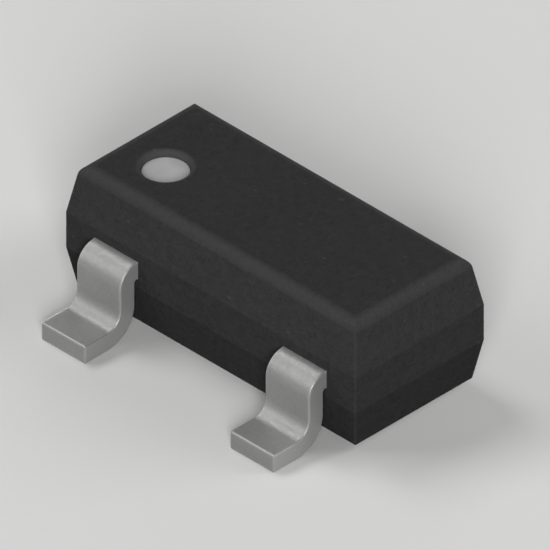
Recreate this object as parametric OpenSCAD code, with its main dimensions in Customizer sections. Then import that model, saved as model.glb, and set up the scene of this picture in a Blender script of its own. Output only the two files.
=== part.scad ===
// SOT-23 transistor: a moulded epoxy body on three gull-wing leads, with its die and bond wires inside.
// Millimetres, +Z up. The origin is on the board, under the middle of the body.
// X runs along the lead rows: base and emitter leads on the -Y side, the collector lead on the +Y side.

/* [Body] */
// Length of the body at its belt
body_l = 2.92; // [2.7:0.01:3.3]
// Width of the body at its belt
body_w = 1.3; // [1.15:0.01:1.7]
// Height of the body from its underside to its top
body_h = 1.05; // [0.95:0.01:1.3]
// Gap between the underside of the body and the board
standoff = 0.06; // [0.01:0.01:0.12]
// Height of the upright belt round the parting line
belt_h = 0.305; // [0.22:0.005:0.4]
// Draft of the sides above and below the belt, in degrees
draft = 10; // [3:0.5:14]
// Radius of the rounded top edges
edge_r = 0.1; // [0.02:0.01:0.14]

/* [Leads] */
// Height of the middle of the lead frame above the board
frame_z = 0.55; // [0.5:0.01:0.62]
// Thickness of the lead frame
lead_t = 0.15; // [0.1:0.01:0.18]
// Width of a lead
lead_w = 0.44; // [0.3:0.01:0.5]
// Distance of the base and emitter leads from the middle of the body
pitch = 0.95; // [0.9:0.01:1]
// Straight run of a lead from the body to its shoulder bend
exit_l = 0.01; // [0.005:0.005:0.1]
// Inner radius of the shoulder bend
shoulder_r = 0.02; // [0.01:0.005:0.06]
// Inner radius of the foot bend
foot_r = 0.125; // [0.05:0.005:0.2]
// Length of the flat foot beyond its bend
foot_l = 0.23; // [0.1:0.01:0.4]

/* [Inner lead ends] */
// Plastic between the long sides of the body and the wide inner ends of the leads
side_cover = 0.24; // [0.15:0.01:0.3]
// Plastic between the short sides of the body and the heads of the base and emitter leads
end_cover = 0.2; // [0.12:0.01:0.25]
// Length of the collector flag that carries the die
flag_l = 1; // [0.7:0.01:1.1]
// Gap between the flag and the heads beside it
flag_gap = 0.14; // [0.08:0.01:0.2]
// Depth of the heads of the base and emitter leads
head_d = 0.36; // [0.2:0.01:0.6]

/* [Die] */
// Side of the square die
die_side = 0.36; // [0.28:0.01:0.5]
// Thickness of the die
die_t = 0.12; // [0.08:0.01:0.15]
// Thickness of the layer that holds the die
attach_t = 0.015; // [0.005:0.005:0.03]
// Reach of that layer beyond the die on every side
attach_lip = 0.02; // [0.005:0.005:0.05]
// Distance of the bond pads from the edges of the die
pad_inset = 0.09; // [0.06:0.01:0.1]

/* [Bond wires] */
// Diameter of the wire
wire_d = 0.025; // [0.018:0.001:0.035]
// Diameter of the ball on the die
ball_d = 0.07; // [0.05:0.005:0.08]
// Height of the ball
ball_h = 0.02; // [0.01:0.005:0.03]
// Rise of the loop over the die, to the middle of the wire
loop_rise = 0.15; // [0.1:0.01:0.18]
// Diameter of the flattened stitch on the lead
stitch_d = 0.07; // [0.05:0.005:0.1]
// Thickness of the stitch
stitch_t = 0.01; // [0.005:0.001:0.015]
// Distance of the stitch from the inner edge of the head
stitch_inset = 0.1; // [0.06:0.01:0.16]

/* [Pin one mark] */
// Diameter of the ink disc, and of the recess that holds it
mark_d = 0.35; // [0.2:0.01:0.4]
// Thickness of the ink
mark_t = 0.01; // [0.005:0.005:0.02]
// Depth of the recess down to the face of the ink
recess_depth = 0.05; // [0.02:0.005:0.06]
// Rounding of the rim of the recess
rim_r = 0.05; // [0.01:0.005:0.06]
// Distance of the mark from the middle of the body, towards the base lead
mark_offset = 0.15; // [0:0.01:0.2]

/* [Hidden] */
$fn = 96;

// Overshoot of every cut past the face that it opens
over = 0.1;

epoxy = "#2f2f30";
tin = "#b4b4b4";
silicon = "#6b7078";
solder = "#8e8f92";
gold = "#d4af37";
ink = "#9e9e9e";

// Heights above the board
top_z = standoff + body_h;
belt_bottom = frame_z - belt_h / 2;
belt_top = frame_z + belt_h / 2;
frame_bottom = frame_z - lead_t / 2;
frame_top = frame_z + lead_t / 2;
shoulder_z = frame_bottom - shoulder_r;
foot_z = lead_t + foot_r;
die_bottom = frame_top + attach_t;
die_top = die_bottom + die_t;
loop_z = die_top + ball_h / 2;
loop_r = loop_rise - ball_h / 2;
ink_bottom = top_z - recess_depth - mark_t;

// Distances of a lead's stations from the middle of the body
inner_y = body_w / 2 - side_cover;
shoulder_y = body_w / 2 + exit_l;
shank_y = shoulder_y + shoulder_r;
foot_y = shank_y + lead_t + foot_r;

// Edges of the base and emitter heads along the body
head_in = flag_l / 2 + flag_gap;
head_out = body_l / 2 - end_cover;

// All that lies behind one side of the body: the side faces +X, with its belt at x = 0
module behind_side() {
    reach = body_l + over;
    foot_in = (belt_bottom - standoff) * tan(draft);
    round_z = top_z - edge_r;
    round_in = (round_z - belt_top) * tan(draft) + edge_r / cos(draft);
    rotate([90, 0, 0]) linear_extrude(reach, center = true) {
        polygon([
            [-reach, standoff],
            [-foot_in, standoff],
            [0, belt_bottom],
            [0, belt_top],
            [edge_r * cos(draft) - round_in, round_z + edge_r * sin(draft)],
            [-round_in, top_z],
            [-reach, top_z]
        ]);
        translate([-round_in, round_z]) circle(edge_r);
    }
}

// Outside of the body: four drafted sides that meet in mitred corners
module body_form() {
    intersection() {
        translate([body_l / 2, 0, 0]) behind_side();
        translate([-body_l / 2, 0, 0]) rotate(180) behind_side();
        translate([0, body_w / 2, 0]) rotate(90) behind_side();
        translate([0, -body_w / 2, 0]) rotate(270) behind_side();
    }
}

// Round recess for the mark, with a rounded rim
module recess() {
    rim = min(rim_r, recess_depth);
    rim_x = mark_d / 2 + rim;
    translate([-pitch, -mark_offset, top_z]) rotate_extrude() {
        translate([0, ink_bottom - top_z]) square([mark_d / 2, top_z - ink_bottom + over]);
        difference() {
            translate([0, -rim]) square([rim_x, rim + over]);
            translate([rim_x, -rim]) circle(rim);
        }
    }
}

// Quarter bend of the lead strip round the origin, in the first quadrant
module bend(inner_r) {
    intersection() {
        difference() {
            circle(inner_r + lead_t);
            circle(inner_r);
        }
        square(inner_r + lead_t);
    }
}

// Gull-wing lead on the +Y side, from its root in the wide inner end to the tip of its foot
module gull_wing() {
    root_y = inner_y - lead_t;
    rotate([90, 0, 90]) linear_extrude(lead_w, center = true) {
        translate([root_y, frame_bottom]) square([shoulder_y - root_y, lead_t]);
        translate([shoulder_y, shoulder_z]) bend(shoulder_r);
        translate([shank_y, foot_z]) square([lead_t, shoulder_z - foot_z]);
        translate([foot_y, foot_z]) rotate(180) bend(foot_r);
        translate([foot_y, 0]) square([foot_l, lead_t]);
    }
}

// Flat inner part of the lead frame, from its outline in plan
module frame_plate() {
    translate([0, 0, frame_bottom]) linear_extrude(lead_t) children();
}

// Lead on the -Y side with a locking head: end is -1 for the base and 1 for the emitter
module headed_lead(end) {
    translate([end * pitch, 0, 0]) rotate(180) gull_wing();
    frame_plate() translate([end * (head_in + head_out) / 2, head_d / 2 - inner_y])
        square([head_out - head_in, head_d], center = true);
}

// Wire from a ball on the die to a stitch on a head: end is as for headed_lead
module bond_wire(end) {
    ball = [end * (die_side / 2 - pad_inset), pad_inset - die_side / 2];
    stitch = [end * (head_in + stitch_inset), head_d / 2 - inner_y];
    run = norm(stitch - ball);

    // The wire rises out of the ball in one bend and leaves it on the tangent that ends in the stitch
    reach = run - loop_r;
    drop = loop_z - frame_top;
    straight = sqrt(reach ^ 2 + drop ^ 2 - loop_r ^ 2);
    slope = atan2(drop, reach) + atan2(loop_r, straight);

    bend_end = [loop_r * (1 + sin(slope)), 0, loop_z + loop_r * cos(slope)];

    translate(ball) rotate(atan2(stitch.y - ball.y, stitch.x - ball.x)) {
        translate([0, 0, die_top]) rotate_extrude() {
            square([(ball_d - ball_h) / 2, ball_h]);
            translate([(ball_d - ball_h) / 2, ball_h / 2]) circle(d = ball_h);
        }
        difference() {
            translate(bend_end) rotate([0, 90 + slope, 0]) {
                cylinder(d = wire_d, h = straight + wire_d / tan(slope));
                translate([loop_r, 0, 0]) rotate([-90, 0, 180]) rotate_extrude(angle = 90 + slope)
                    translate([loop_r, 0]) circle(d = wire_d);
            }
            translate([0, -over / 2, frame_top - over]) cube([run + over, over, over]);
        }
        translate([run, 0, frame_top]) cylinder(d = stitch_d, h = stitch_t);
    }
}

module mould_body() {
    color(epoxy) difference() {
        body_form();
        recess();
        base_lead();
        emitter_lead();
        collector_lead();
        die_attach();
        transistor_die();
        base_wire();
        emitter_wire();
    }
}

module base_lead() {
    color(tin) headed_lead(-1);
}

module emitter_lead() {
    color(tin) headed_lead(1);
}

module collector_lead() {
    color(tin) {
        gull_wing();
        frame_plate() square([flag_l, 2 * inner_y], center = true);
    }
}

module die_attach() {
    color(solder) translate([0, 0, frame_top]) linear_extrude(attach_t)
        square(die_side + 2 * attach_lip, center = true);
}

module transistor_die() {
    color(silicon) translate([0, 0, die_bottom]) linear_extrude(die_t) square(die_side, center = true);
}

module base_wire() {
    color(gold) bond_wire(-1);
}

module emitter_wire() {
    color(gold) bond_wire(1);
}

module pin_one_mark() {
    color(ink) translate([-pitch, -mark_offset, ink_bottom]) cylinder(d = mark_d, h = mark_t);
}

mould_body();
base_lead();
emitter_lead();
collector_lead();
die_attach();
transistor_die();
base_wire();
emitter_wire();
pin_one_mark();
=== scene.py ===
"""Looks of a SOT-23 transistor: fine meshes of what shows, procedural finishes, floor, light and camera.

The part is drawn in millimetres, with the sizes of its solids, and each mesh is taken to metres when it is
done. The studio round it is in metres and watts.
"""

import math

import bmesh
import bpy
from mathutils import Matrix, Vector
from mathutils.geometry import delaunay_2d_cdt


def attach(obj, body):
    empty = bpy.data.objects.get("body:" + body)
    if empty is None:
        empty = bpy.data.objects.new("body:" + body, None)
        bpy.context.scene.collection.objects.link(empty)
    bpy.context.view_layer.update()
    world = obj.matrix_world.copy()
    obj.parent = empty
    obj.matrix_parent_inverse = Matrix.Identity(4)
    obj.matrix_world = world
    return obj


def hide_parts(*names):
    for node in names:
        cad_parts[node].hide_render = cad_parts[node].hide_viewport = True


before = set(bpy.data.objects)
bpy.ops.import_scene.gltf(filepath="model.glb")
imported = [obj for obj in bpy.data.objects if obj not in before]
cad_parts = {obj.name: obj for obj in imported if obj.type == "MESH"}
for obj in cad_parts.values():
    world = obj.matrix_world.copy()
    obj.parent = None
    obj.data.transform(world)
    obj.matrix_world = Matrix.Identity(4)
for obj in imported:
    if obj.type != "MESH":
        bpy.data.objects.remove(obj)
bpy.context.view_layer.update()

MM = 0.001

# Body
BODY_L, BODY_W, BODY_H = 2.92, 1.3, 1.05
STANDOFF, BELT_H, EDGE_R = 0.06, 0.305, 0.1
DRAFT = math.tan(math.radians(10))
TOP_Z = STANDOFF + BODY_H

# Leads
FRAME_Z, LEAD_T, LEAD_W, PITCH = 0.55, 0.15, 0.44, 0.95
EXIT_L, SHOULDER_R, FOOT_R, FOOT_L = 0.01, 0.02, 0.125, 0.23
FRAME_BOTTOM, FRAME_TOP = FRAME_Z - LEAD_T / 2, FRAME_Z + LEAD_T / 2
BELT_BOTTOM, BELT_TOP = FRAME_Z - BELT_H / 2, FRAME_Z + BELT_H / 2

# Inner ends of the leads: the flag under the die, and the heads beside it
SIDE_COVER, END_COVER = 0.24, 0.2
FLAG_L, FLAG_GAP, HEAD_D = 1.0, 0.14, 0.36
INNER_Y = BODY_W / 2 - SIDE_COVER
HEAD_IN, HEAD_OUT = FLAG_L / 2 + FLAG_GAP, BODY_L / 2 - END_COVER

# Pin-one mark
MARK_X, MARK_Y, MARK_R = -PITCH, -0.15, 0.175
MARK_T, RECESS_DEPTH, RIM_R = 0.01, 0.05, 0.05
MARK_TOP = TOP_Z - RECESS_DEPTH
MARK_BOTTOM = MARK_TOP - MARK_T

# Roundings too small for the solids: moulded corners, belt creases, stamped edges, the lip of the ink
MOULD_R, CREASE_R, STAMP_R, INK_R = 0.009, 0.012, 0.012, 0.005

# Steps in the arcs of those roundings, in the larger ones and in a full circle
CORNER_STEPS, CREASE_STEPS, INK_STEPS = 5, 2, 6
TOP_STEPS, RIM_STEPS, SHOULDER_STEPS, FOOT_STEPS = 20, 10, 18, 30
CIRCLE_STEPS = 128

# Distance from a rounding to the points that keep the flat beside it flat: on long faces, on the tip of a
# foot and on the ink
SUPPORT, TIP_SUPPORT, INK_SUPPORT = 0.01, 0.012, 0.0125

# Radius that the corners of a tip keep where its rounding has run out
LEAST_R = 0.001

# Depths under the sides and under the top beyond which a face of the solid body belongs to its cavity
CAVITY_SIDE, CAVITY_ROOF = 0.002, 0.15

# Distance within which points are one, slack in comparing places, angle from which an edge stays sharp
WELD, SLACK = 2e-4, 1e-6
SHARP = math.radians(50)

# Rim values: how burnished the corners are, and how strong a painted highlight the rounded top edges and the
# recess get
EDGE_WEAR, TOP_PAINTED_HIGHLIGHT, RECESS_PAINTED_HIGHLIGHT = 0.3, 0.5, 1.0

# Power that fades the painted highlight of a top edge out, and hoops over which the painted highlight of the
# recess sets in
HIGHLIGHT_FADE, HIGHLIGHT_HOOPS = 0.4, 4

# Painted shade: the lower walls, the belt and the top are painted a little darker than the upper walls,
# standing in for how the light falls on them
LOWER_SHADE_TONE, BELT_SHADE_TONE, WALL_SHADE_TONE, TOP_SHADE_TONE = 0.79, 0.9, 1.0, 0.8

# Half the height of a change of painted shade at the belt, and the depths between which the painted shade of
# the top sets in
SHADE_TONE_EDGE, TOP_SHADE_FADE_LOW, TOP_SHADE_FADE_HIGH = 0.002, 0.012, 0.001

# Floor as it is shown and as light bounces off it, the room, and what lies under the floor
PAPER_SHOWN, PAPER_BOUNCE = (0.62, 0.62, 0.615), (0.03, 0.03, 0.03)
ROOM, UNDER_FLOOR = (0.02, 0.02, 0.02), (0.662, 0.662, 0.656)
FLOOR_HALF, LAMP_DISTANCE = 0.15, 0.2

# Camera: a true isometric view, framed as the photo is
VIEW_AZIMUTH, VIEW_ELEVATION = 45, math.degrees(math.atan(math.sqrt(0.5)))
VIEW_WIDTH, AIM_Z = 3.9185 * MM, 0.55366 * MM
CAMERA_DISTANCE, CLIP_NEAR, CLIP_FAR = 0.02, 0.001, 1.0


def rounded(points, corners):
    """The inner corners of a polyline, rounded: (point, rim) pairs from the first corner to the last.

    A corner is its radius, its steps and its rim value, which fades towards both ends of a wide rounding.
    Points beyond each rounding keep its rim value narrow: wear on a corner, a painted highlight on the wide
    top edge.
    """
    made = []
    for i, (radius, steps, wear_and_highlight) in enumerate(corners, 1):
        corner = Vector(points[i])
        before = (Vector(points[i - 1]) - corner).normalized()
        after = (Vector(points[i + 1]) - corner).normalized()
        half = before.angle(after) / 2
        reach = radius / math.tan(half)
        centre = corner + (before + after).normalized() * (radius / math.sin(half))
        first = corner + before * reach - centre
        turn = first.angle_signed(corner + after * reach - centre)
        made.append((tuple(corner + before * (reach + SUPPORT)), 0.0))
        for k in range(steps + 1):
            angle = -turn * k / steps
            c, s = math.cos(angle), math.sin(angle)
            spot = centre + Vector((first.x * c - first.y * s, first.x * s + first.y * c))
            fade = 1.0 if radius < EDGE_R else math.sin(math.pi * k / steps) ** HIGHLIGHT_FADE
            made.append((tuple(spot), wear_and_highlight * fade))
        made.append((tuple(corner + after * (reach + SUPPORT)), 0.0))
    return made


def section(half_w, half_h, radius, cuts=()):
    """A rounded rectangle round the origin: (x, y, rim) all the way round.

    Its long sides have points at the cuts too.
    """
    corner = [(half_w, half_h - radius - SUPPORT, 0.0)]
    for k in range(CORNER_STEPS + 1):
        angle = math.pi / 2 * k / CORNER_STEPS
        x = half_w - radius * (1 - math.cos(angle))
        y = half_h - radius * (1 - math.sin(angle))
        corner.append((x, y, 1.0))
    corner.append((half_w - radius - SUPPORT, half_h, 0.0))
    long_side = [(x, half_h, 0.0) for x in sorted(cuts, reverse=True)]
    half = corner + long_side + [(-x, y, rim) for x, y, rim in reversed(corner)]
    return half + [(-x, -y, rim) for x, y, rim in half]


class Piece:
    """A mesh under construction, in millimetres, with a rim value at every vertex."""

    def __init__(self):
        self.bm = bmesh.new()
        self.rim = self.bm.verts.layers.float.new("rim")

    def vert(self, co, rim=0.0):
        made = self.bm.verts.new(co)
        made[self.rim] = rim
        return made

    def ring(self, points):
        """Vertices from (place, rim) pairs."""
        return [self.vert(co, rim) for co, rim in points]

    def face(self, verts):
        """A face through each of the vertices once, if that leaves three or more."""
        corners = list(dict.fromkeys(verts))
        if len(corners) > 2:
            self.bm.faces.new(corners)

    def loft(self, rings, skip=lambda a, b: False):
        """The skin over a row of rings. Skip tells by two opposite corners which faces to leave out."""
        for low, high in zip(rings, rings[1:]):
            for i, a in enumerate(low):
                j = (i + 1) % len(low)
                if not skip(a.co, high[j].co):
                    self.face((a, low[j], high[j], high[i]))

    def turned(self, profile):
        """The skin that (radius, height, rim) points sweep round the axis of the mark: its two end hoops."""
        hoops = []
        for r, z, rim in profile:
            angles = [2 * math.pi * k / CIRCLE_STEPS for k in range(CIRCLE_STEPS)]
            spots = [(MARK_X + r * math.cos(a), MARK_Y + r * math.sin(a), z) for a in angles]
            hoops.append(self.ring([(spot, rim) for spot in spots]))
        self.loft(hoops)
        return hoops[0], hoops[-1]

    def fill(self, outer, hole):
        """A level face between an outer loop and a round hole in it."""
        verts = outer + hole
        ends = [(i, (i + 1) % len(outer)) for i in range(len(outer))]
        ends += [(len(outer) + i, len(outer) + (i + 1) % len(hole)) for i in range(len(hole))]
        _, _, faces, source, _, _ = delaunay_2d_cdt([v.co.xy for v in verts], ends, [], 1, SLACK)
        for corners in faces:
            picked = [source[c][0] for c in corners]
            if min(picked) < len(outer):
                self.face([verts[i] for i in picked])

    def finish(self, name, node, material):
        """Welds the mesh, takes it to metres, and lets it stand for its CAD node."""
        bmesh.ops.remove_doubles(self.bm, verts=self.bm.verts, dist=WELD)
        bmesh.ops.recalc_face_normals(self.bm, faces=self.bm.faces)
        bmesh.ops.scale(self.bm, vec=(MM, MM, MM), verts=self.bm.verts)
        mesh = bpy.data.meshes.new(name)
        self.bm.to_mesh(mesh)
        self.bm.free()
        mesh.shade_smooth()
        mesh.set_sharp_from_angle(angle=SHARP)
        mesh.materials.append(material)
        made = bpy.data.objects.new(name, mesh)
        bpy.context.scene.collection.objects.link(made)
        weighted = made.modifiers.new("even_flats", "WEIGHTED_NORMAL")
        weighted.weight = 100
        weighted.keep_sharp = True
        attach(made, "root")
        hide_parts(node)


def inset(z):
    """How far the side of the body stands in from its belt at a height."""
    return max(BELT_BOTTOM - z, z - BELT_TOP, 0) * DRAFT


def build_body(material):
    """The moulded body: its skin with the recess and the lead windows, and the walls of its cavity."""
    piece = Piece()

    # Side of the body in profile, by depth and height: its ends lie anywhere inside, to give directions
    inner = BODY_W / 4
    under = (inset(STANDOFF), STANDOFF)
    apex = (inset(TOP_Z), TOP_Z)
    crease = (CREASE_R, CREASE_STEPS, 0.0)
    profile = rounded(
        [(inner, STANDOFF), under, (0, BELT_BOTTOM), (0, BELT_TOP), apex, (inner, TOP_Z)],
        [(MOULD_R, CORNER_STEPS, EDGE_WEAR), crease, crease, (EDGE_R, TOP_STEPS, TOP_PAINTED_HIGHLIGHT)],
    )
    middle = next(i for i, (point, _) in enumerate(profile) if point[1] > FRAME_Z)
    profile[middle:middle] = [((0, FRAME_BOTTOM), 0.0), ((0, FRAME_TOP), 0.0)]

    lead_in, lead_out = PITCH - LEAD_W / 2, PITCH + LEAD_W / 2
    cuts = [side * edge for side in (-1, 1) for edge in (LEAD_W / 2, lead_in, lead_out)]

    def in_window(a, b):
        x, y, z = (a + b) / 2
        if abs(abs(y) - BODY_W / 2) > SLACK or abs(z - FRAME_Z) > LEAD_T / 2:
            return False
        return abs(x) < LEAD_W / 2 if y > 0 else lead_in < abs(x) < lead_out

    rings = []
    for i, ((depth, z), rim) in enumerate(profile):
        edge = EDGE_WEAR if 0 < i < len(profile) - 1 else 0.0
        outline = section(BODY_L / 2 - depth, BODY_W / 2 - depth, MOULD_R, cuts)
        rings.append(piece.ring([((x, y, z), max(rim, corner * edge)) for x, y, corner in outline]))
    piece.loft(rings, in_window)
    piece.face(rings[0])

    # Recess with a rounded rim, down to the seat of the ink
    bowl = []
    for k in range(RIM_STEPS + 1):
        angle = math.pi / 2 * k / RIM_STEPS
        r = MARK_R + RIM_R * (1 - math.sin(angle))
        z = TOP_Z - RIM_R * (1 - math.cos(angle))
        # The recess wall gets a painted highlight through its rim values
        bowl.append((r, z, RECESS_PAINTED_HIGHLIGHT * min(k / HIGHLIGHT_HOOPS, 1)))
    bowl.append((MARK_R, MARK_BOTTOM, RECESS_PAINTED_HIGHLIGHT))
    mouth, seat = piece.turned(bowl)
    piece.face(seat)
    piece.fill(rings[-1], mouth)

    # Cavity of the solid: the walls round the lead frame, die and wires
    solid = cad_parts["mould_body"].data
    for polygon in solid.polygons:
        x, y, z = polygon.center / MM
        depth = min(BODY_L / 2 - abs(x), BODY_W / 2 - abs(y)) - inset(z)
        if min(depth, z - STANDOFF) > CAVITY_SIDE and TOP_Z - z > CAVITY_ROOF:
            piece.face([piece.vert(solid.vertices[v].co / MM) for v in polygon.vertices])
    piece.finish("moulded_body", "mould_body", material)


def bend(y, z, radius, first, last, steps):
    """Points round a bend, from one angle in degrees to another: (y, z, angle)."""
    made = []
    for k in range(steps + 1):
        angle = first + (last - first) * k / steps
        a = math.radians(angle)
        made.append((y + radius * math.cos(a), z + radius * math.sin(a), angle))
    return made


def lead_path():
    """Stations along the middle of a lead outside the body, and the end of its foot.

    A station is (y, z, angle of its upper side in degrees).
    """
    mid = LEAD_T / 2
    shoulder_y = BODY_W / 2 + EXIT_L
    foot_y = shoulder_y + SHOULDER_R + LEAD_T + FOOT_R
    path = [(BODY_W / 2, FRAME_Z, 90)]
    path += bend(shoulder_y, FRAME_BOTTOM - SHOULDER_R, SHOULDER_R + mid, 90, 0, SHOULDER_STEPS)
    foot = bend(foot_y, LEAD_T + FOOT_R, FOOT_R + mid, 180, 270, FOOT_STEPS)
    path += [(y, z, angle - 180) for y, z, angle in foot]
    return path, foot_y + FOOT_L


def build_lead(name, node, centre, side, plate, material):
    """A gull-wing lead and its inner plate, drawn on the +Y side and turned to the side it is on.

    A plate is the two ends and the far edge of the head or flag that the body grips.
    """
    piece = Piece()
    path, tip = lead_path()

    def ring(y, z, angle, radius, shrink=0.0, rim=None):
        c, s = math.cos(math.radians(angle)), math.sin(math.radians(angle))
        made = []
        for x, n, corner in section(LEAD_W / 2 - shrink, LEAD_T / 2 - shrink, radius):
            spot = (side * (centre + x), side * (y + n * c), z + n * s)
            made.append((spot, corner if rim is None else rim))
        return piece.ring(made)

    def tip_ring(y, radius, shrink=0.0, rim=None):
        return ring(y, LEAD_T / 2, 90, radius, shrink, rim)

    rings = [ring(*path[0], 0.0)]
    rings += [ring(*station, STAMP_R) for station in path[1:]]
    rings.append(tip_ring(tip - STAMP_R - SUPPORT, STAMP_R))
    for k in range(CORNER_STEPS + 1):
        angle = math.pi / 2 * k / CORNER_STEPS
        shrink = STAMP_R * (1 - math.cos(angle))
        y = tip - STAMP_R * (1 - math.sin(angle))
        rings.append(tip_ring(y, max(STAMP_R - shrink, LEAST_R), shrink, 1.0))
    rings.append(tip_ring(tip, LEAST_R, STAMP_R + TIP_SUPPORT, 0.0))
    piece.loft(rings)
    piece.face(rings[-1])

    # Inner plate, whose edge at the body has the points of the first ring
    x0, x1, far_y = plate
    left, right = centre - LEAD_W / 2, centre + LEAD_W / 2
    outline = [
        (right, BODY_W / 2), (right, INNER_Y), (x1, INNER_Y), (x1, far_y),
        (x0, far_y), (x0, INNER_Y), (left, INNER_Y), (left, BODY_W / 2),
    ]
    last = len(outline) - 1
    outline += [(left + SUPPORT, BODY_W / 2), (right - SUPPORT, BODY_W / 2)]
    low = piece.ring([((side * x, side * y, FRAME_BOTTOM), 0.0) for x, y in outline])
    high = piece.ring([((side * x, side * y, FRAME_TOP), 0.0) for x, y in outline])

    def upright(foot):
        x, y, _ = foot.co
        return [piece.vert((x, y, z)) for z in (FRAME_BOTTOM + SUPPORT, FRAME_TOP - SUPPORT)]

    walls = [[low[i], low[i + 1], high[i + 1], high[i]] for i in range(last)]
    walls[0] += reversed(upright(low[0]))
    walls[-1][2:2] = upright(low[last])
    for wall in (low, high, *walls):
        piece.face(wall)
    piece.finish(name, node, material)


def build_mark(material):
    """The ink in the recess: a thin disc with a soft lip."""
    piece = Piece()
    lip = [(MARK_R, MARK_BOTTOM, 0.0)]
    for k in range(INK_STEPS + 1):
        angle = math.pi / 2 * k / INK_STEPS
        r = MARK_R - INK_R * (1 - math.cos(angle))
        lip.append((r, MARK_TOP - INK_R * (1 - math.sin(angle)), 0.0))
    lip.append((MARK_R - INK_R - INK_SUPPORT, MARK_TOP, 0.0))
    for end in piece.turned(lip):
        piece.face(end)
    piece.finish("pin_one_ink", "pin_one_mark", material)


class Finish:
    """A node material. Its pattern coordinates are the object's own, in millimetres."""

    def __init__(self, name, **sockets):
        self.material = bpy.data.materials.new(name)
        self.material.use_nodes = True
        self.nodes = self.material.node_tree.nodes
        self.links = self.material.node_tree.links
        self.shader = self.nodes["Principled BSDF"]
        for socket, value in sockets.items():
            self.shader.inputs[socket.replace("_", " ")].default_value = value
        self.coords = self.nodes.new("ShaderNodeTexCoord")
        scale = self.nodes.new("ShaderNodeVectorMath")
        scale.operation = "SCALE"
        scale.inputs["Scale"].default_value = 1 / MM
        self.links.new(self.coords.outputs["Object"], scale.inputs[0])
        self.place = scale.outputs[0]

    def put(self, value, socket):
        """Links an output to a socket, or writes a plain value or colour into it."""
        if hasattr(value, "is_linked"):
            self.links.new(value, socket)
        else:
            socket.default_value = (*value, 1) if isinstance(value, tuple) else value

    def noise(self, size, detail=2.0, stretch=None):
        """Cloudy noise: features of that size in millimetres, stretched along each axis."""
        where = self.place
        if stretch:
            pull = self.nodes.new("ShaderNodeVectorMath")
            pull.operation = "MULTIPLY"
            pull.inputs[1].default_value = [1 / s for s in stretch]
            self.links.new(where, pull.inputs[0])
            where = pull.outputs[0]
        made = self.nodes.new("ShaderNodeTexNoise")
        made.inputs["Scale"].default_value = 0.5 / size
        made.inputs["Detail"].default_value = detail
        self.links.new(where, made.inputs["Vector"])
        return made.outputs["Fac"]

    def cells(self, size, output):
        """Cells of that size in millimetres: Distance to the middle of a cell, or a Color for each."""
        made = self.nodes.new("ShaderNodeTexVoronoi")
        made.inputs["Scale"].default_value = 1 / size
        self.links.new(self.place, made.inputs["Vector"])
        return made.outputs[output]

    def axis(self, vector, name):
        """One axis of a vector."""
        parts = self.nodes.new("ShaderNodeSeparateXYZ")
        self.links.new(vector, parts.inputs[0])
        return parts.outputs[name]

    def across(self):
        """How squarely a face looks along X, from 0 to 1."""
        return self.math("ABSOLUTE", self.axis(self.coords.outputs["Normal"], "X"), 0.0)

    def attribute(self, name):
        made = self.nodes.new("ShaderNodeAttribute")
        made.attribute_name = name
        return made.outputs["Fac"]

    def span(self, value, low, high, to_low=0.0, to_high=1.0):
        """Takes a range of a value to another range, clamped."""
        made = self.nodes.new("ShaderNodeMapRange")
        self.links.new(value, made.inputs["Value"])
        sockets = ("From Min", "From Max", "To Min", "To Max")
        for socket, number in zip(sockets, (low, high, to_low, to_high)):
            made.inputs[socket].default_value = number
        return made.outputs["Result"]

    def clouds(self, value, to_low=0.0, to_high=1.0):
        """Takes the range in which nearly all of a noise lies to another range."""
        return self.span(value, 0.3, 0.7, to_low, to_high)

    def math(self, operation, a, b):
        made = self.nodes.new("ShaderNodeMath")
        made.operation = operation
        self.put(a, made.inputs[0])
        self.put(b, made.inputs[1])
        return made.outputs[0]

    def mix(self, amount, a, b, blend="MIX"):
        """One colour over another."""
        made = self.nodes.new("ShaderNodeMix")
        made.data_type = "RGBA"
        made.blend_type = blend
        self.put(amount, made.inputs["Factor"])
        self.put(a, made.inputs["A"])
        self.put(b, made.inputs["B"])
        return made.outputs["Result"]

    def tone(self, stops):
        """A grey level by height: stops are (height in millimetres, level), lowest first."""
        top = stops[-1][0]
        ramp = self.nodes.new("ShaderNodeValToRGB")
        self.links.new(self.math("DIVIDE", self.axis(self.place, "Z"), top), ramp.inputs["Fac"])
        elements = ramp.color_ramp.elements
        while len(elements) < len(stops):
            elements.new(1.0)
        for element, (height, level) in zip(elements, stops):
            element.position = height / top
            element.color = (level, level, level, 1)
        return ramp.outputs["Color"]

    def bump(self, height, micrometres, under=None, strength=1.0):
        """Relief of that height over the whole range of a value."""
        made = self.nodes.new("ShaderNodeBump")
        self.put(strength, made.inputs["Strength"])
        made.inputs["Distance"].default_value = micrometres * MM * MM
        self.links.new(height, made.inputs["Height"])
        if under:
            self.links.new(under, made.inputs["Normal"])
        return made.outputs["Normal"]

    def wire(self, color, roughness, normal):
        """Links the three patterns to the shader, and gives the material."""
        self.links.new(color, self.shader.inputs["Base Color"])
        self.links.new(roughness, self.shader.inputs["Roughness"])
        self.links.new(normal, self.shader.inputs["Normal"])
        return self.material


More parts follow.
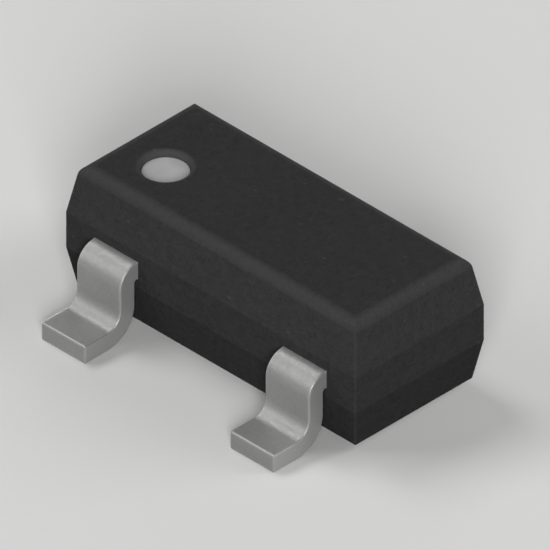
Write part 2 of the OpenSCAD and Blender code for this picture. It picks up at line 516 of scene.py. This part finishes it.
def epoxy():
    """Black filled epoxy: spark-eroded mould grain, filler grains under the skin, burnished corners, a
    painted highlight on the rounded top edges and in the recess, and painted shade by height.
    """
    skin_dark, skin_pale = (0.0312, 0.0312, 0.0317), (0.0332, 0.0332, 0.0337)
    raised, filled, speck = (0.044, 0.044, 0.0445), (0.042, 0.042, 0.0425), (0.08, 0.079, 0.077)
    pit, worn_and_highlit = (0.012, 0.012, 0.0125), (0.06, 0.06, 0.061)
    painted_shade_stops = [
        (0.0, LOWER_SHADE_TONE),
        (BELT_BOTTOM - SHADE_TONE_EDGE, LOWER_SHADE_TONE),
        (BELT_BOTTOM + SHADE_TONE_EDGE, BELT_SHADE_TONE),
        (BELT_TOP - SHADE_TONE_EDGE, BELT_SHADE_TONE),
        (BELT_TOP + SHADE_TONE_EDGE, WALL_SHADE_TONE),
        (TOP_Z - TOP_SHADE_FADE_LOW, WALL_SHADE_TONE),
        (TOP_Z - TOP_SHADE_FADE_HIGH, TOP_SHADE_TONE),
        (TOP_Z, TOP_SHADE_TONE),
    ]
    f = Finish("filled_epoxy", Specular_IOR_Level=0.01)
    grain = f.noise(0.011)
    pebble = f.noise(0.034)
    flow = f.noise(0.35)
    filler = f.cells(0.022, "Color")
    specks = f.span(filler, 0.93, 0.97)
    rim = f.attribute("rim")
    color = f.mix(f.clouds(flow), skin_dark, skin_pale)
    color = f.mix(f.span(pebble, 0.35, 0.65, 0.0, 0.4), color, raised)
    color = f.mix(f.span(filler, 0.0, 1.0, 0.0, 0.3), color, filled)
    color = f.mix(f.math("MULTIPLY", specks, 0.45), color, speck)
    color = f.mix(f.span(grain, 0.5, 0.25, 0.0, 0.35), color, pit)
    # Painted shade: darkens the lower walls, the belt and the top by height
    color = f.mix(1.0, color, f.tone(painted_shade_stops), "MULTIPLY")
    # Wear on the corners, and a painted highlight on the rounded top edges and in the recess
    color = f.mix(f.math("MULTIPLY", rim, 0.6), color, worn_and_highlit)
    rough = f.math("SUBTRACT", f.clouds(grain, 0.8, 0.94), f.math("MULTIPLY", rim, 0.12))
    normal = f.bump(grain, 7.0, f.bump(pebble, 8.0, f.bump(flow, 4.0)))
    return f.wire(color, rough, normal)


def tin():
    """Matte tin plate: fine crystals, drawn lines, painted light on the side faces and burnished edges."""
    dull, fresh, crystal = (0.25, 0.25, 0.247), (0.278, 0.278, 0.275), (0.56, 0.56, 0.555)
    burnish_and_side_light = (0.5, 0.5, 0.495)
    f = Finish("matte_tin", Metallic=0.56, Specular_IOR_Level=0.12)
    crystals = f.cells(0.016, "Color")
    grain = f.noise(0.014)
    lines = f.noise(0.012, stretch=(1, 14, 14))
    cloud = f.noise(0.18)
    rim = f.attribute("rim")
    color = f.mix(f.clouds(cloud), dull, fresh)
    color = f.mix(f.span(crystals, 0.0, 1.0, 0.04, 0.14), color, crystal)
    # Painted light: the faces that look along X are painted brighter
    color = f.mix(f.span(f.across(), 0.8, 0.95, 0.0, 0.5), color, burnish_and_side_light)
    color = f.mix(f.math("MULTIPLY", rim, 0.18), color, burnish_and_side_light)
    flat = f.span(rim, 0.0, 0.5, 1.0, 0.0)
    normal = f.bump(lines, 0.7, f.bump(grain, 1.4, strength=flat), flat)
    return f.wire(color, f.clouds(grain, 0.43, 0.53), normal)


def ink():
    """Pale marking ink: an uneven film with pinholes."""
    thin, thick, pinhole = (0.31, 0.31, 0.31), (0.37, 0.37, 0.37), (0.12, 0.12, 0.12)
    f = Finish("marking_ink", Specular_IOR_Level=0.3)
    cloud = f.noise(0.08, 3.0)
    grain = f.noise(0.015)
    pinholes = f.span(f.cells(0.05, "Distance"), 0.1, 0.04)
    color = f.mix(f.clouds(cloud), thin, thick)
    color = f.mix(f.math("MULTIPLY", pinholes, 0.4), color, pinhole)
    return f.wire(color, f.clouds(grain, 0.6, 0.78), f.bump(grain, 2.0))


def silicon():
    """The chip: polished silicon with faint lapping marks."""
    f = Finish("silicon", Metallic=0.6)
    marks = f.noise(0.006, stretch=(1, 20, 1))
    cloud = f.noise(0.1)
    color = f.mix(f.clouds(cloud), (0.11, 0.12, 0.145), (0.14, 0.15, 0.17))
    return f.wire(color, f.clouds(marks, 0.16, 0.3), f.bump(marks, 0.2))


def adhesive():
    """The layer under the chip: cured adhesive full of fine metal flakes."""
    f = Finish("die_adhesive", Metallic=0.4)
    flakes = f.cells(0.008, "Color")
    grain = f.noise(0.01)
    color = f.mix(f.span(flakes, 0.2, 0.8), (0.24, 0.24, 0.25), (0.38, 0.38, 0.39))
    return f.wire(color, f.clouds(grain, 0.5, 0.7), f.bump(grain, 1.5))


def gold():
    """Drawn gold wire."""
    f = Finish("gold_wire", Metallic=1.0)
    lines = f.noise(0.004, stretch=(12, 4, 1))
    cloud = f.noise(0.06)
    color = f.mix(f.clouds(cloud), (0.8, 0.56, 0.14), (0.86, 0.63, 0.19))
    return f.wire(color, f.clouds(lines, 0.18, 0.32), f.bump(lines, 0.2))


def dress(node, material):
    """Gives a CAD node that stays its finish."""
    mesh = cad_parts[node].data
    mesh.materials.clear()
    mesh.materials.append(material)


def shown_rays(tree):
    """1 for what the camera sees, directly or in gloss and glass, and 0 for light that bounces."""
    path = tree.nodes.new("ShaderNodeLightPath")
    shown = path.outputs["Is Camera Ray"]
    for kind in ("Is Glossy Ray", "Is Transmission Ray"):
        most = tree.nodes.new("ShaderNodeMath")
        most.operation = "MAXIMUM"
        tree.links.new(shown, most.inputs[0])
        tree.links.new(path.outputs[kind], most.inputs[1])
        shown = most.outputs[0]
    return shown


def build_floor():
    """A sheet of pale paper under the feet, which throws little light back at the part."""
    bm = bmesh.new()
    bmesh.ops.create_grid(bm, x_segments=1, y_segments=1, size=FLOOR_HALF)
    mesh = bpy.data.meshes.new("floor")
    bm.to_mesh(mesh)
    bm.free()
    paper = Finish("floor_paper", Specular_IOR_Level=0.2, Roughness=0.9)
    color = paper.mix(shown_rays(paper.material.node_tree), PAPER_BOUNCE, PAPER_SHOWN)
    paper.links.new(color, paper.shader.inputs["Base Color"])
    mesh.materials.append(paper.material)
    floor = bpy.data.objects.new("floor", mesh)
    bpy.context.scene.collection.objects.link(floor)


def build_room():
    """A dark room, as pale as the floor below the horizon, for views that start under the floor."""
    world = bpy.data.worlds.new("studio")
    world.use_nodes = True
    tree = world.node_tree
    place = tree.nodes.new("ShaderNodeTexCoord")
    parts = tree.nodes.new("ShaderNodeSeparateXYZ")
    below = tree.nodes.new("ShaderNodeMath")
    below.operation = "LESS_THAN"
    below.inputs[1].default_value = 0
    shade = tree.nodes.new("ShaderNodeMix")
    shade.data_type = "RGBA"
    shade.inputs["A"].default_value = (*ROOM, 1)
    shade.inputs["B"].default_value = (*UNDER_FLOOR, 1)
    tree.links.new(place.outputs["Generated"], parts.inputs[0])
    tree.links.new(parts.outputs["Z"], below.inputs[0])
    tree.links.new(below.outputs[0], shade.inputs["Factor"])
    tree.links.new(shade.outputs["Result"], tree.nodes["Background"].inputs["Color"])
    bpy.context.scene.world = world


def direction(azimuth, elevation):
    """Towards a viewer at that azimuth, from -Y towards +X, and elevation."""
    a, e = math.radians(azimuth), math.radians(elevation)
    return Vector((math.sin(a) * math.cos(e), -math.cos(a) * math.cos(e), math.sin(e)))


def build_lamps():
    """Soft boxes round the part: a key under the camera, and four that shape the leads and the far sides."""
    for name, azimuth, elevation, width, height, watts in (
        ("key", 45, 24, 0.07, 0.07, 0.4),
        ("left", -48, 29, 0.1, 0.14, 0.155),
        ("right", 140, 30, 0.1, 0.16, 0.175),
        ("back", 225, 3, 0.14, 0.02, 0.27),
        ("over", -92, 54, 0.08, 0.08, 0.12),
    ):
        lamp = bpy.data.lights.new(name, "AREA")
        lamp.shape = "RECTANGLE"
        lamp.size, lamp.size_y = width, height
        lamp.energy = watts
        holder = bpy.data.objects.new(name, lamp)
        away = direction(azimuth, elevation)
        holder.location = away * LAMP_DISTANCE
        holder.rotation_euler = away.to_track_quat("Z", "Y").to_euler()
        bpy.context.scene.collection.objects.link(holder)


def build_camera():
    """A true isometric view, as in the photo."""
    data = bpy.data.cameras.new("camera")
    data.type = "ORTHO"
    data.ortho_scale = VIEW_WIDTH
    data.clip_start, data.clip_end = CLIP_NEAR, CLIP_FAR
    camera = bpy.data.objects.new("camera", data)
    away = direction(VIEW_AZIMUTH, VIEW_ELEVATION)
    camera.location = Vector((0, 0, AIM_Z)) + away * CAMERA_DISTANCE
    camera.rotation_euler = away.to_track_quat("Z", "Y").to_euler()
    bpy.context.scene.collection.objects.link(camera)
    bpy.context.scene.camera = camera


plate_tin = tin()
build_body(epoxy())
head_y = INNER_Y - HEAD_D
build_lead("base_gull_wing", "base_lead", PITCH, -1, (HEAD_IN, HEAD_OUT, head_y), plate_tin)
build_lead("emitter_gull_wing", "emitter_lead", -PITCH, -1, (-HEAD_OUT, -HEAD_IN, head_y), plate_tin)
build_lead("collector_gull_wing", "collector_lead", 0, 1, (-FLAG_L / 2, FLAG_L / 2, -INNER_Y), plate_tin)
build_mark(ink())
dress("transistor_die", silicon())
dress("die_attach", adhesive())
gold_finish = gold()
dress("base_wire", gold_finish)
dress("emitter_wire", gold_finish)
build_floor()
build_room()
build_lamps()
build_camera()
bpy.context.scene.view_settings.view_transform = "Standard"
